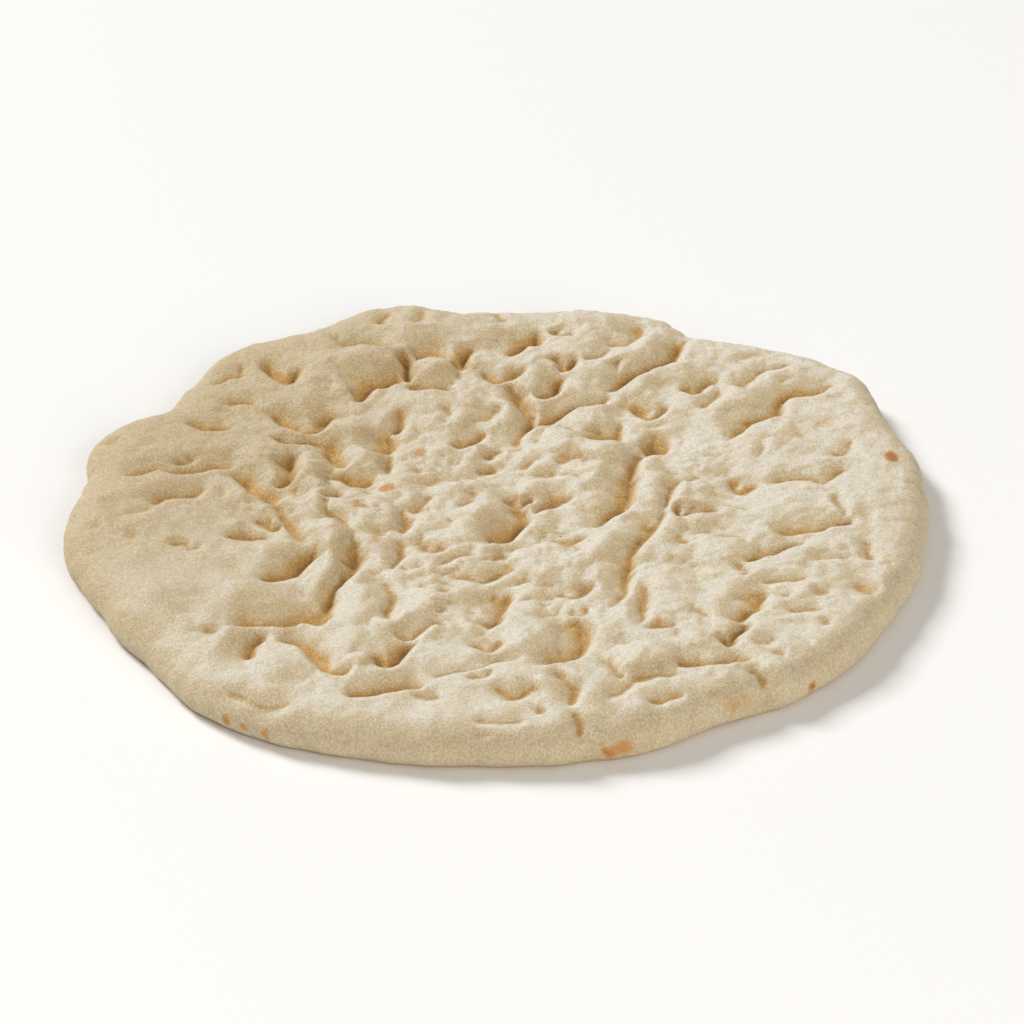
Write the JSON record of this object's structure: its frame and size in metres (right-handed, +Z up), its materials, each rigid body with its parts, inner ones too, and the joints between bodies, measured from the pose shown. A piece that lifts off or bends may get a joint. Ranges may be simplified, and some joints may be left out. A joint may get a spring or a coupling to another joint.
{
  "type": "pizza base",
  "caption": "Hand-stretched, part-baked disc of pale bread dough with a low raised rim, a flat underside and a top full of folds and finger dents, ready for toppings.",
  "frame": {"origin": "middle of the underside, at the middle of the bounding box in plan", "axes": "+Z up out of the dimpled top, +Y to the far edge in plan, +X to the right as seen from the near edge"},
  "size_m": [0.2978, 0.2942, 0.0181],
  "materials": {
    "dough": "matt, floury part-baked bread crust, pale cream on the crests, warmer in the hollows, with a few browned blisters"
  },
  "bodies": {
    "root": {"pizza_base": "dough"}
  },
  "joints": []
}
